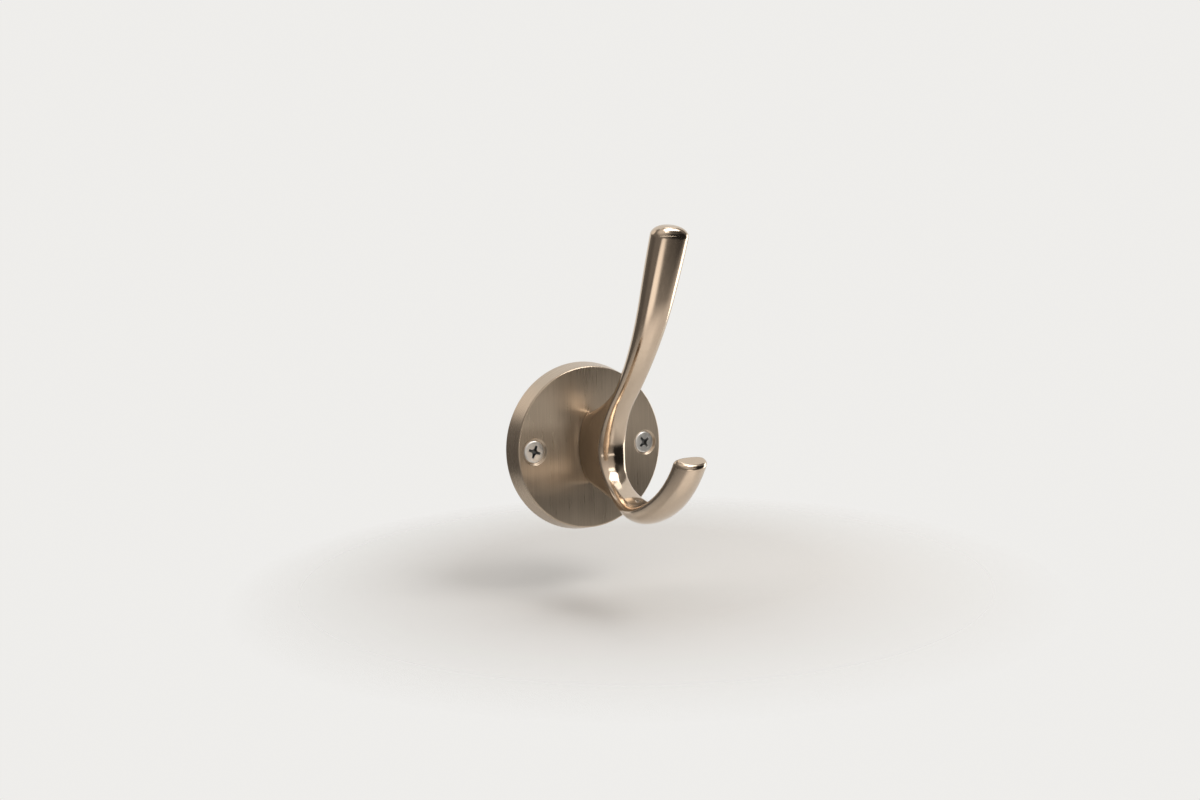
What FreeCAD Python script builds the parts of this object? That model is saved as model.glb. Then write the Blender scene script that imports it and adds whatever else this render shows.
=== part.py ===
import FreeCAD, Part
import math
import os
import Sketcher

# Double robe hook: a round rosette that is screwed to the wall, and a cast arm with a tall prong
# above and a J below. Millimetres. +Z is up, the wall is the plane y = 0, the arm reaches to -Y.

SIZES = {
    # rosette
    "plate_diameter": 50.0,
    "plate_flare": 1.3,
    "plate_thickness": 5.85,
    "plate_edge": 0.35,
    "face_thickness": 2.3,
    "rim_width": 3.0,
    "screw_from_edge": 5.6,
    "screw_boss_wall": 2.7,
    "centre_boss_diameter": 13.0,
    "centre_boss_recess": 0.8,
    # wood screws, and their countersunk holes in the rosette
    "screw_diameter": 3.5,
    "screw_head_diameter": 6.9,
    "screw_head_land": 0.2,
    "screw_neck_diameter": 2.6,
    "screw_length": 20.0,
    "screw_point": 4.0,
    "screw_hole_clearance": 0.35,
    "screw_sunk": 0.35,
    "recess_span": 3.9,
    "recess_slot": 0.95,
    "recess_depth": 1.5,
    "left_screw_angle": 20.0,
    "right_screw_angle": 52.0,
    # machine screw that pulls the arm onto the rosette from behind
    "fixing_diameter": 4.0,
    "fixing_head_diameter": 7.5,
    "fixing_head_land": 0.3,
    "fixing_length": 11.0,
    "fixing_hole_clearance": 0.25,
    "tapped_spare": 1.5,
    # pip that keeps the arm upright in the rosette
    "pip_diameter": 2.4,
    "pip_length": 1.4,
    "pip_root": 1.0,
    "pip_height": 8.4,
    "pip_clearance": 0.05,
    # centreline of the arm: its saddle, then arcs and a straight up the prong
    "saddle_reach": 17.7,
    "saddle_height": -0.5,
    "upper_saddle_radius": 13.0,
    "upper_saddle_angle": 14.0,
    "throat_radius": 28.0,
    "throat_angle": 29.5,
    "prong_radius": 95.2,
    "prong_angle": 21.5,
    "prong_straight": 16.3,
    # and arcs round the J
    "lower_saddle_radius": 13.0,
    "lower_saddle_angle": 41.0,
    "bowl_radius": 17.7,
    "bowl_angle": 66.0,
    "lip_radius": 32.4,
    "lip_angle": 43.5,
    # width of the arm at its stations
    "prong_end_width": 11.2,
    "throat_width": 7.8,
    "saddle_width": 9.2,
    "lower_saddle_width": 7.8,
    "bowl_width": 11.7,
    "lip_end_width": 10.1,
    # section of the arm, as shares of half its width, and how square its front is (2 is an ellipse)
    "prong_front": 0.5,
    "saddle_front": 0.34,
    "lip_front": 0.28,
    "prong_back": 0.7,
    "saddle_back": 0.7,
    "lip_back": 0.64,
    "prong_crest": 0.0,
    "saddle_crest": 0.35,
    "lip_crest": 0.1,
    "crest_softness": 0.12,
    "prong_square": 2.8,
    "saddle_square": 3.0,
    "lip_square": 3.2,
    # ends of the arm: height of the rounding, and the share of the section that is left flat
    "prong_dome": 2.9,
    "prong_end_flat": 0.2,
    "lip_end_rounding": 1.3,
    "lip_end_flat": 0.65,
    # neck between the rosette and the arm
    "foot_top": 11.1,
    "foot_bottom": 11.2,
    "foot_width": 9.2,
    "neck_width": 6.6,
    "neck_taper": 8.0,
    "neck_rounding": 2.9,
    "neck_step": 0.05,
    "neck_lap": 0.2,
    "flare_sink": 0.5,
    "upper_flare_run": 13.0,
    "lower_flare_run": 9.0,
}

# How finely the free-form surfaces are sampled, and how far a cutter starts outside its solid.
SECTION_POINTS = 24
ARM_STATIONS = 27
END_STEPS = 5
NECK_STEPS = 12
FOOT_STEPS = 5
CUTTER_OVERRUN = 1.0

doc = FreeCAD.newDocument("robe_hook")
sheet = doc.addObject("Spreadsheet::Sheet", "sizes")
for row, (name, value) in enumerate(SIZES.items(), start=1):
    sheet.set("A%d" % row, name)
    sheet.set("B%d" % row, str(value))
    sheet.setAlias("B%d" % row, name)
doc.recompute()


def size(name):
    return float(sheet.get(name))


def point(x, y, z):
    return FreeCAD.Vector(x, y, z)


def origin_plane(body, role):
    return [item for item in body.Origin.OriginFeatures if item.Role == role][0]


def new_body(name):
    body = doc.addObject("PartDesign::Body", name)
    body.Label = name
    return body


def new_sketch(body, name, role):
    sketch = body.newObject("Sketcher::SketchObject", name)
    sketch.AttachmentSupport = (origin_plane(body, role), "")
    sketch.MapMode = "FlatFace"
    return sketch


def draw_profile(sketch, corners):
    """Closed outline through corners, each a pair of expressions on the sheet's sizes."""
    values = [[sheet.evalExpression(text) for text in corner] for corner in corners]
    count = len(corners)
    for index in range(count):
        start = values[index]
        end = values[(index + 1) % count]
        sketch.addGeometry(Part.LineSegment(point(*start, 0), point(*end, 0)), False)
    for index in range(count):
        sketch.addConstraint(Sketcher.Constraint("Coincident", index, 2, (index + 1) % count, 1))
    for index in range(count):
        for kind, text, value in zip(("DistanceX", "DistanceY"), corners[index], values[index]):
            rule = sketch.addConstraint(Sketcher.Constraint(kind, -1, 1, index, 1, float(value)))
            sketch.setExpression("Constraints[%d]" % rule, text)


def draw_circle(sketch, across, up, radius):
    """Circle whose centre and radius are expressions on the sheet's sizes."""
    across_now, up_now, radius_now = [sheet.evalExpression(text) for text in (across, up, radius)]
    circle = Part.Circle(point(across_now, up_now, 0), point(0, 0, 1), radius_now)
    index = sketch.addGeometry(circle, False)
    rules = [("DistanceX", across, across_now), ("DistanceY", up, up_now)]
    for kind, text, value in rules:
        rule = sketch.addConstraint(Sketcher.Constraint(kind, -1, 1, index, 3, float(value)))
        sketch.setExpression("Constraints[%d]" % rule, text)
    rule = sketch.addConstraint(Sketcher.Constraint("Radius", index, float(radius_now)))
    sketch.setExpression("Constraints[%d]" % rule, radius)


def revolve(body, sketch, name, kind="PartDesign::Revolution"):
    """Full turn of the sketch about its own vertical axis, which runs out of the wall."""
    feature = body.newObject(kind, name)
    feature.Profile = sketch
    feature.ReferenceAxis = (sketch, ["V_Axis"])
    feature.Angle = 360
    body.Tip = feature
    return feature


# Rosette: a die-cast cup with a flat face, open at the back, with a boss at each screw.
def make_base_plate():
    body = new_body("base_plate")
    hole = "(sizes.fixing_diameter / 2 + sizes.fixing_hole_clearance)"
    head = "(sizes.fixing_head_diameter / 2)"
    boss_back = "(-sizes.centre_boss_recess)"
    inner_face = "(sizes.face_thickness - sizes.plate_thickness)"
    rim_inside = "(sizes.plate_diameter / 2 - sizes.rim_width)"
    outline = new_sketch(body, "plate_outline", "XY_Plane")
    draw_profile(outline, [
        (hole, "-sizes.plate_thickness"),
        ("sizes.plate_diameter / 2 - sizes.plate_edge", "-sizes.plate_thickness"),
        ("sizes.plate_diameter / 2", "-sizes.plate_thickness + sizes.plate_edge"),
        ("sizes.plate_diameter / 2 + sizes.plate_flare", "0"),
        (rim_inside + " + sizes.plate_flare", "0"),
        (rim_inside, inner_face),
        ("sizes.centre_boss_diameter / 2", inner_face),
        ("sizes.centre_boss_diameter / 2", boss_back),
        (head, boss_back),
        (head, boss_back + " - sizes.fixing_head_land"),
        (hole, "%s - sizes.fixing_head_land - (%s - %s)" % (boss_back, head, hole)),
    ])
    revolve(body, outline, "plate_turned")

    bosses = new_sketch(body, "screw_boss_outline", "XZ_Plane")
    radius = "(sizes.screw_diameter / 2 + sizes.screw_hole_clearance + sizes.screw_boss_wall)"
    draw_circle(bosses, "sizes.plate_diameter / 2 - sizes.screw_from_edge", "0", radius)
    draw_circle(bosses, "sizes.screw_from_edge - sizes.plate_diameter / 2", "0", radius)
    pad = body.newObject("PartDesign::Pad", "screw_bosses")
    pad.Profile = bosses
    pad.setExpression("Length", "sizes.plate_thickness - sizes.face_thickness / 2")
    body.Tip = pad
    doc.recompute()

    screw_hole = new_sketch(body, "screw_hole_outline", "XY_Plane")
    axis_x = "(sizes.plate_diameter / 2 - sizes.screw_from_edge)"
    bore = "(sizes.screw_diameter / 2 + sizes.screw_hole_clearance)"
    mouth = "(sizes.screw_head_diameter / 2 + sizes.screw_sunk + sizes.screw_head_land)"
    draw_profile(screw_hole, [
        (axis_x, "-sizes.plate_thickness"),
        (axis_x + " + " + mouth, "-sizes.plate_thickness"),
        (axis_x + " + " + bore, "-sizes.plate_thickness + %s - %s" % (mouth, bore)),
        (axis_x + " + " + bore, "0"),
        (axis_x, "0"),
    ])
    groove = body.newObject("PartDesign::Groove", "right_screw_hole")
    groove.Profile = screw_hole
    groove.ReferenceAxis = (screw_hole, ["Edge5"])
    groove.Angle = 360
    body.Tip = groove
    doc.recompute()
    mirror = body.newObject("PartDesign::Mirrored", "left_screw_hole")
    mirror.Originals = [groove]
    mirror.MirrorPlane = (origin_plane(body, "YZ_Plane"), [""])
    body.Tip = mirror
    doc.recompute()

    socket_outline = new_sketch(body, "pip_socket_outline", "XZ_Plane")
    draw_circle(socket_outline, "0", "sizes.pip_height", "sizes.pip_diameter / 2 + sizes.pip_clearance")
    socket = body.newObject("PartDesign::Pocket", "pip_socket")
    socket.Profile = socket_outline
    socket.Type = "ThroughAll"
    socket.Midplane = True
    body.Tip = socket
    return body


def screw_profile(body, name, tip, corners):
    """Screw turned about the axis that runs out of the wall, head towards -Y."""
    sketch = new_sketch(body, name + "_outline", "XY_Plane")
    draw_profile(sketch, [("0", corners[0][1])] + corners + [("0", tip)])
    revolve(body, sketch, name + "_turned")
    doc.recompute()


def cut_cross(body, name, depth, into_plate):
    """Cross recess cut from the plane y = 0, away from the plate or into it."""
    for turn, arm in enumerate(("recess_across", "recess_upright")):
        sketch = new_sketch(body, "%s_%s" % (name, arm), "XZ_Plane")
        half = ("sizes.recess_span / 2", "sizes.recess_slot / 2")
        wide, high = half if turn == 0 else half[::-1]
        draw_profile(sketch, [
            ("-" + wide, "-" + high),
            (wide, "-" + high),
            (wide, high),
            ("-" + wide, high),
        ])
        pocket = body.newObject("PartDesign::Pocket", "%s_%s_cut" % (name, arm))
        pocket.Profile = sketch
        pocket.Reversed = into_plate
        pocket.setExpression("Length", depth)
        body.Tip = pocket
        doc.recompute()


# Wood screw, head face at y = 0: countersunk head, plain neck through the rosette, then the thread
# at its outer size, which starts where the rosette ends, and a point.
def make_wood_screw():
    body = new_body("wood_screw_form")
    rim = "(sizes.screw_head_diameter / 2)"
    thread = "(sizes.screw_diameter / 2)"
    neck = "(sizes.screw_neck_diameter / 2)"
    thread_start = "(sizes.plate_thickness - sizes.screw_sunk)"
    screw_profile(body, "wood_screw", "sizes.screw_length", [
        (rim, "0"),
        (rim, "sizes.screw_head_land"),
        (neck, "sizes.screw_head_land + %s - %s" % (rim, neck)),
        (neck, "%s - (%s - %s)" % (thread_start, thread, neck)),
        (thread, thread_start),
        (thread, "sizes.screw_length - sizes.screw_point"),
    ])
    cut_cross(body, "wood_screw", "sizes.recess_depth", False)
    return body


class Frame:
    """A place on the arm's centreline in the plane x = 0, with the way that the line takes there."""

    def __init__(self, y, z, way):
        self.y = y
        self.z = z
        self.way = way

    def centre(self):
        return point(0, self.y, self.z)

    def front(self):
        """Square to the line, on the side that faces away from the wall at the saddle."""
        return point(0, math.sin(self.way), -math.cos(self.way))

    def walk(self, length, radius=None, side=1):
        """The frame after a straight, or after an arc that bends to the left (1) or right (-1)."""
        if radius is None:
            y = self.y + length * math.cos(self.way)
            z = self.z + length * math.sin(self.way)
            return Frame(y, z, self.way)
        turned = self.way + side * length / radius
        y = self.y + side * radius * (math.sin(turned) - math.sin(self.way))
        z = self.z - side * radius * (math.cos(turned) - math.cos(self.way))
        return Frame(y, z, turned)

    def turned_round(self):
        return Frame(self.y, self.z, self.way + math.pi)


def arc_leg(name, side):
    radius = size(name + "_radius")
    return math.radians(size(name + "_angle")) * radius, radius, side


def arm_side(legs, widths):
    """One side of the arm: its legs, and half widths at distances from the saddle, given per leg."""
    marks = [(0.0, size("saddle_width") / 2)]
    run = 0.0
    for leg, width in zip(legs, widths):
        run += leg[0]
        if width:
            marks.append((run, size(width) / 2))
    return legs, marks


UPPER = arm_side(
    [arc_leg("upper_saddle", 1), arc_leg("throat", 1), arc_leg("prong", -1),
     (size("prong_straight"), None, 1)],
    [None, "throat_width", None, "prong_end_width"],
)
LOWER = arm_side(
    [arc_leg("lower_saddle", -1), arc_leg("bowl", -1), arc_leg("lip", -1)],
    ["lower_saddle_width", "bowl_width", "lip_end_width"],
)
UPPER_LENGTH = UPPER[1][-1][0]
LOWER_LENGTH = LOWER[1][-1][0]


def shape_at(run):
    """Shape of the section: its front, back, crest and squareness, between the saddle and an end."""
    end, length = ("lip_", LOWER_LENGTH) if run > 0 else ("prong_", UPPER_LENGTH)
    share = abs(run) / length
    blend = share * share * (3 - 2 * share)
    names = ("front", "back", "crest", "square")
    return [(1 - blend) * size("saddle_" + name) + blend * size(end + name) for name in names]


def arm_at(run):
    """Frame and half width at a distance from the saddle, up the prong (-) or down the J (+)."""
    legs, marks = LOWER if run > 0 else UPPER
    start = math.pi / 2 * (-1 if run > 0 else 1)
    frame = Frame(-size("saddle_reach"), size("saddle_height"), start)
    left = abs(run)
    for length, radius, side in legs:
        frame = frame.walk(min(left, length), radius, side)
        left = max(left - length, 0.0)
    half = marks[-1][1]
    for (start_run, start_half), (end_run, end_half) in zip(marks[:-1], marks[1:]):
        if start_run <= abs(run) < end_run:
            share = (abs(run) - start_run) / (end_run - start_run)
            half = start_half + (end_half - start_half) * share * share * (3 - 2 * share)
    return (frame if run > 0 else frame.turned_round()), half


def smooth_ring(ring):
    """Closed smooth curve through points. Even parameters give every ring of a loft the same knots."""
    curve = Part.BSplineCurve()
    even = [float(number) for number in range(len(ring) + 1)]
    curve.interpolate(Points=ring, PeriodicFlag=True, Parameters=even)
    return Part.Wire([curve.toShape()])


def section_wire(run, past=0.0, scale=1.0):
    """Closed section: elliptical back, squarer front that rises to a soft crest. May lie past an end."""
    front, back, crest, square = shape_at(run)
    frame, half = arm_at(run)
    frame = frame.walk(past)
    soft = size("crest_softness")
    crest_full = math.hypot(1, soft) - soft
    ring = []
    for index in range(SECTION_POINTS):
        turn = 2 * math.pi * (index + 0.5) / SECTION_POINTS
        across = math.cos(turn)
        if math.sin(turn) > 0:
            roof = (math.hypot(1, soft) - math.hypot(across, soft)) / crest_full
            box = (1 - abs(across) ** square) ** (1 / square)
            depth = front * ((1 - crest) * box + crest * roof)
        else:
            depth = back * math.sin(turn)
        side = point(across * half * scale, 0, 0)
        ring.append(frame.centre() + side + frame.front() * depth * half * scale)
    return smooth_ring(ring)


def rounded_end(run, height, flat):
    """Cap that carries on from the arm's last section and rounds over to a smaller flat end."""
    wires = []
    for step in range(END_STEPS + 1):
        turn = math.pi / 2 * step / END_STEPS
        past = math.copysign(height, run) * math.sin(turn)
        wires.append(section_wire(run, past, 1 - (1 - flat) * (1 - math.cos(turn))))
    return Part.makeLoft(wires, True, False)


def make_arm_bar():
    """Prong, saddle and J as one bar, lofted through even sections, with both ends rounded."""
    spacing = (UPPER_LENGTH + LOWER_LENGTH) / (ARM_STATIONS - 1)
    runs = [spacing * step - UPPER_LENGTH for step in range(ARM_STATIONS)]
    bar = Part.makeLoft([section_wire(run) for run in runs], True, False)
    prong_end = rounded_end(-UPPER_LENGTH, size("prong_dome"), size("prong_end_flat"))
    lip_end = rounded_end(LOWER_LENGTH, size("lip_end_rounding"), size("lip_end_flat"))
    return bar.fuse([prong_end, lip_end])


def flare_onto(run, corner):
    """Arc from a corner of the neck's foot that runs smoothly on to the back of the arm."""
    frame, half = arm_at(run)
    back = shape_at(run)[1]
    end = frame.centre() - frame.front() * (back * half - size("flare_sink"))
    chord = end - corner
    up = math.copysign(1, chord.z)
    chord_way = math.atan2(abs(chord.z), abs(chord.y))
    end_way = math.atan2(abs(math.sin(frame.way)), abs(math.cos(frame.way)))
    sag = chord.Length / 2 * math.tan((end_way - chord_way) / 2)
    away = point(0, -math.sin(chord_way), -up * math.cos(chord_way))
    return Part.Arc(corner, (corner + end) / 2 + away * sag, end).toShape()


def arc_height(arc, y):
    """Height of an arc in the plane x = 0 at a distance from the wall, on its half next to the neck."""
    circle = arc.Curve
    rise = math.sqrt(circle.Radius ** 2 - (y - circle.Center.y) ** 2)
    return circle.Center.z - math.copysign(rise, circle.Center.z)


def arc_from(arc, start):
    """The part of an arc from a point on it to its end."""
    turn = arc.Curve.parameter(start)
    if turn < arc.FirstParameter:
        turn += 2 * math.pi
    return Part.Edge(arc.Curve, turn, arc.LastParameter)


def neck_ring(y, share, flares, trim):
    """Outline of the neck at y: an oval at its foot, share 0, and a flat-sided web at its waist, 1."""
    top, bottom = [arc_height(flare, y) for flare in flares]
    bulge = (size("foot_width") - size("neck_width")) / 2
    half = size("neck_width") / 2 + bulge * (1 - share) ** 2 - trim
    tall = (top - bottom) / 2 - trim
    rounding = size("neck_rounding")
    ring = []
    for index in range(SECTION_POINTS):
        turn = 2 * math.pi * (index + 0.5) / SECTION_POINTS
        up = abs(math.sin(turn)) * tall
        oval = abs(math.cos(turn)) * half
        past = min(max(up - tall + rounding, 0.0), rounding)
        web = half - rounding + math.sqrt(rounding ** 2 - past ** 2)
        across = (1 - share) * oval + share * web
        z = (top + bottom) / 2 + math.copysign(up, math.sin(turn))
        ring.append(point(math.copysign(across, math.cos(turn)), y, z))
    return smooth_ring(ring)


def make_neck():
    """Oval foot that narrows to a flat-sided web, which runs on to the back of the arm."""
    foot_y = -size("plate_thickness")
    waist_y = foot_y - size("neck_taper")
    top = point(0, foot_y, size("foot_top"))
    bottom = point(0, foot_y, -size("foot_bottom"))
    upper_run = -(UPPER[1][1][0] + size("upper_flare_run"))
    lower_run = LOWER[1][1][0] + size("lower_flare_run")
    flares = [flare_onto(upper_run, top), flare_onto(lower_run, bottom)]
    waist = [point(0, waist_y, arc_height(flare, waist_y)) for flare in flares]
    spacing = (lower_run - upper_run) / NECK_STEPS
    inside = [arm_at(upper_run + spacing * step)[0].centre() for step in range(NECK_STEPS + 1)]
    edges = [arc_from(flare, start) for flare, start in zip(flares, waist)]
    corners = [edges[0].lastVertex().Point] + inside + [edges[1].lastVertex().Point]
    edges.append(Part.LineSegment(*waist).toShape())
    edges += [Part.LineSegment(a, b).toShape() for a, b in zip(corners[:-1], corners[1:])]
    side = Part.Face(Part.Wire(Part.__sortEdges__(edges)))
    half = size("neck_width") / 2
    web = side.extrude(point(2 * half, 0, 0)).translated(point(-half, 0, 0))
    corner_edges = [edge for edge in web.Edges if edge.Curve.TypeId == "Part::GeomCircle"]
    web = web.makeFillet(size("neck_rounding"), corner_edges)

    rings = []
    for step in range(FOOT_STEPS + 1):
        share = step / FOOT_STEPS
        y = foot_y - size("neck_taper") * share
        rings.append(neck_ring(y, share, flares, size("neck_step") * share))
    rings.append(neck_ring(waist_y - size("neck_lap"), 1, flares, size("neck_step")))
    return web.fuse(Part.makeLoft(rings, True, False))


def turned_about_y(corners):
    """Solid of revolution about the y axis from (radius, y) corners."""
    outline = Part.makePolygon([point(x, y, 0) for x, y in corners + corners[:1]])
    return Part.Face(outline).revolve(point(0, 0, 0), point(0, 1, 0), 360)


def make_hook_arm():
    """One casting: bar, neck and locating pip, with the blind tapped hole in its foot."""
    foot_y = -size("plate_thickness")
    pip_end = point(0, foot_y + size("pip_length"), size("pip_height"))
    pip = Part.makeCylinder(size("pip_diameter") / 2, size("pip_length") + size("pip_root"),
                            pip_end, point(0, -1, 0))
    solid = make_arm_bar().fuse([make_neck(), pip])
    hole_depth = fixing_tip_depth() + size("tapped_spare")
    radius = size("fixing_diameter") / 2
    drill = turned_about_y([
        (0, foot_y + CUTTER_OVERRUN),
        (radius, foot_y + CUTTER_OVERRUN),
        (radius, foot_y - hole_depth),
        (0, foot_y - hole_depth - radius / 2),
    ])
    arm = doc.addObject("Part::Feature", "hook_arm")
    arm.Label = "hook_arm"
    arm.Shape = solid.cut(drill)
    return arm


def fixing_tip_depth():
    """How far the machine screw reaches into the neck."""
    return size("fixing_length") - (size("plate_thickness") - size("centre_boss_recess"))


def make_fixing_screw():
    """Countersunk machine screw from behind, head flush with the centre boss."""
    body = new_body("fixing_screw")
    rim = "(sizes.fixing_head_diameter / 2)"
    shank = "(sizes.fixing_diameter / 2)"
    face = "(-sizes.centre_boss_recess)"
    cone_end = "(%s - sizes.fixing_head_land - %s + %s)" % (face, rim, shank)
    outline = new_sketch(body, "fixing_screw_outline", "XY_Plane")
    draw_profile(outline, [
        ("0", face),
        (rim, face),
        (rim, face + " - sizes.fixing_head_land"),
        (shank, cone_end),
        (shank, face + " - sizes.fixing_length"),
        ("0", face + " - sizes.fixing_length"),
    ])
    revolve(body, outline, "fixing_screw_turned")
    doc.recompute()
    cut_cross(body, "fixing_screw", "sizes.centre_boss_recess + sizes.recess_depth", True)
    return body


def make_wall_screws(form):
    """The two identical wood screws in their countersinks, each turned its own way."""
    placed = []
    for hand, turn in ((-1, "left_screw_angle"), (1, "right_screw_angle")):
        copy = form.Shape.copy()
        copy.rotate(point(0, 0, 0), point(0, 1, 0), size(turn))
        from_centre = size("plate_diameter") / 2 - size("screw_from_edge")
        copy.translate(point(hand * from_centre, size("screw_sunk") - size("plate_thickness"), 0))
        placed.append(copy)
    screws = doc.addObject("Part::Feature", "wall_screws")
    screws.Label = "wall_screws"
    screws.Shape = Part.makeCompound(placed)
    return screws


base_plate = make_base_plate()
wood_screw = make_wood_screw()
doc.recompute()
nodes = [base_plate, make_hook_arm(), make_fixing_screw(), make_wall_screws(wood_screw)]
doc.recompute()

for item in doc.Objects:
    if "Invalid" in item.State or "Error" in item.State:
        raise RuntimeError("%s failed: %s" % (item.Name, item.State))
os.makedirs("parts", exist_ok=True)
for node in nodes:
    shape = node.Shape
    if shape.isNull() or not shape.isValid():
        raise RuntimeError("%s has no valid shape" % node.Label)
    shape.exportStep("parts/%s.step" % node.Label)
    print(node.Label, len(shape.Solids), round(shape.Volume, 2), shape.BoundBox)
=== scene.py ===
import math

import bmesh
import bpy
import numpy as np
from mathutils import Matrix, Vector
from mathutils.geometry import delaunay_2d_cdt


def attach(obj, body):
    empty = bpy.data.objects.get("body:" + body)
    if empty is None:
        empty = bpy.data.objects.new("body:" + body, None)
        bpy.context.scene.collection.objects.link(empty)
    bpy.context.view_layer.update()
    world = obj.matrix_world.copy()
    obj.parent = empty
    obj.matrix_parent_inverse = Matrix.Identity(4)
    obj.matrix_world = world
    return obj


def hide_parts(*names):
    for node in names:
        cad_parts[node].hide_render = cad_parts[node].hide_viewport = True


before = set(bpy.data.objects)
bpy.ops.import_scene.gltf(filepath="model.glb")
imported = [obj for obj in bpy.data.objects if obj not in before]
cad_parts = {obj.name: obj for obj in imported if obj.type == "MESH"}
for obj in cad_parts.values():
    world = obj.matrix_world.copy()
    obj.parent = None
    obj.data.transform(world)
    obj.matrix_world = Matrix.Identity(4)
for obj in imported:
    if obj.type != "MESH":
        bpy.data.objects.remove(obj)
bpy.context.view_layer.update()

MM = 0.001

# Sizes in millimetres, as in the solids: +Z is up, the wall is y = 0 and the arm reaches to -Y.
PLATE_THICKNESS = 5.85
FOOT_Y = -PLATE_THICKNESS
SADDLE_Y = -17.7
SADDLE_Z = -0.5
UPPER_LEGS = [(13.0, 14.0, 1), (28.0, 29.5, 1), (95.2, 21.5, -1), (None, 16.3, 1)]
LOWER_LEGS = [(13.0, 41.0, -1), (17.7, 66.0, -1), (32.4, 43.5, -1)]
UPPER_WIDTHS = [(0, 9.2), (2, 7.8), (4, 11.2)]
LOWER_WIDTHS = [(0, 9.2), (1, 7.8), (2, 11.7), (3, 10.1)]
# Section as shares of half its width: front, back, crest, and the squareness of the front.
PRONG_SHAPE = (0.5, 0.7, 0.0, 2.8)
SADDLE_SHAPE = (0.34, 0.7, 0.35, 3.0)
LIP_SHAPE = (0.28, 0.64, 0.1, 3.2)
CREST_SOFTNESS = 0.12
PRONG_DOME = 2.9
PRONG_END_FLAT = 0.2
LIP_END_ROUNDING = 1.3
LIP_END_FLAT = 0.65
END_RUN = 12.0
FOOT_TOP = 11.1
FOOT_BOTTOM = -11.2
FOOT_WIDTH = 9.2
NECK_WIDTH = 6.6
NECK_TAPER = 8.0
NECK_ROUNDING = 2.9
FLARE_SINK = 0.5
UPPER_FLARE_RUN = 13.0
LOWER_FLARE_RUN = 9.0
NECK_INSET = 0.4
BLEND = 0.7
# The tapped hole for the fixing screw, and the pip that keeps the arm from turning.
TAP_RADIUS, TAP_END = 2.0, -13.3
PIP_RADIUS, PIP_BACK, PIP_ROOT, PIP_Z = 1.2, -4.45, -6.85, 8.4
# How the arm's surface is sampled: the box and cell of its net, then how it settles.
ARM_LOW, ARM_HIGH = (-7.0, -62.4, -20.8), (7.0, -4.0, 64.8)
CELL = 0.36
SLOPE_STEP = 0.02
SETTLE_ROUNDS = 4
LONGEST_MOVE = 0.3


class Leg:
    """One arc or straight of the centreline, from a start point and way, in the y-z plane."""

    def __init__(self, start, way, radius, amount, side, run):
        self.start = np.array(start, float)
        self.way = way
        self.radius = radius
        self.side = side
        self.run = run
        if radius is None:
            self.length = amount
            self.end = self.start + amount * np.array([math.cos(way), math.sin(way)])
            self.end_way = way
        else:
            self.length = math.radians(amount) * radius
            self.centre = self.start + side * radius * np.array([-math.sin(way), math.cos(way)])
            self.end_way = way + side * math.radians(amount)
            out = np.array([math.sin(self.end_way), -math.cos(self.end_way)])
            self.end = self.centre + side * radius * out

    def at(self, along):
        """Point and way at a distance along the leg."""
        if self.radius is None:
            way = self.way + 0 * along
            y = self.start[0] + along * math.cos(self.way)
            return y, self.start[1] + along * math.sin(self.way), way
        way = self.way + self.side * along / self.radius
        y = self.centre[0] + self.side * self.radius * np.sin(way)
        return y, self.centre[1] - self.side * self.radius * np.cos(way), way

    def nearest(self, y, z, last):
        """Distance along the leg to the point of it that is nearest to y and z."""
        if self.radius is None:
            along = (y - self.start[0]) * math.cos(self.way)
            along = along + (z - self.start[1]) * math.sin(self.way)
            return np.clip(along, 0.0, np.inf if last else self.length)
        turn = np.arctan2(self.side * (y - self.centre[0]), -self.side * (z - self.centre[1]))
        turn = ((turn - self.way) * self.side + math.pi) % (2 * math.pi) - math.pi
        return np.clip(turn * self.radius, 0.0, self.length)


def chain(legs, way):
    """The legs end to end from the saddle, with a straight past the last for the rounded end."""
    made, place, run = [], (SADDLE_Y, SADDLE_Z), 0.0
    for radius, amount, side in legs + [(None, END_RUN, 1)]:
        leg = Leg(place, way, radius, amount, side, run)
        made.append(leg)
        place, way, run = leg.end, leg.end_way, run + leg.length
    return made


UPPER = chain(UPPER_LEGS, math.pi / 2)
LOWER = chain(LOWER_LEGS, -math.pi / 2)
UPPER_MARKS = [(UPPER[index].run, width / 2) for index, width in UPPER_WIDTHS]
LOWER_MARKS = [(LOWER[index].run, width / 2) for index, width in LOWER_WIDTHS]
UPPER_LENGTH = UPPER[-1].run
LOWER_LENGTH = LOWER[-1].run


def half_width(run, marks):
    """Half width of the arm at a run, eased from mark to mark."""
    half = np.full_like(run, marks[-1][1])
    for (start, a), (end, b) in zip(marks[:-1], marks[1:]):
        share = np.clip((run - start) / (end - start), 0, 1)
        inside = (run >= start) & (run < end)
        half = np.where(inside, a + (b - a) * share * share * (3 - 2 * share), half)
    return np.where(run < 0, marks[0][1], half)


def shape_at(run):
    """Front, back, crest and squareness of the section at signed runs (prong -, J +)."""
    share = np.clip(np.where(run > 0, run / LOWER_LENGTH, -run / UPPER_LENGTH), 0, 1)
    blend = share * share * (3 - 2 * share)
    ends = zip(SADDLE_SHAPE, PRONG_SHAPE, LIP_SHAPE)
    return [saddle + blend * (np.where(run > 0, lip, prong) - saddle)
            for saddle, prong, lip in ends]


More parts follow.
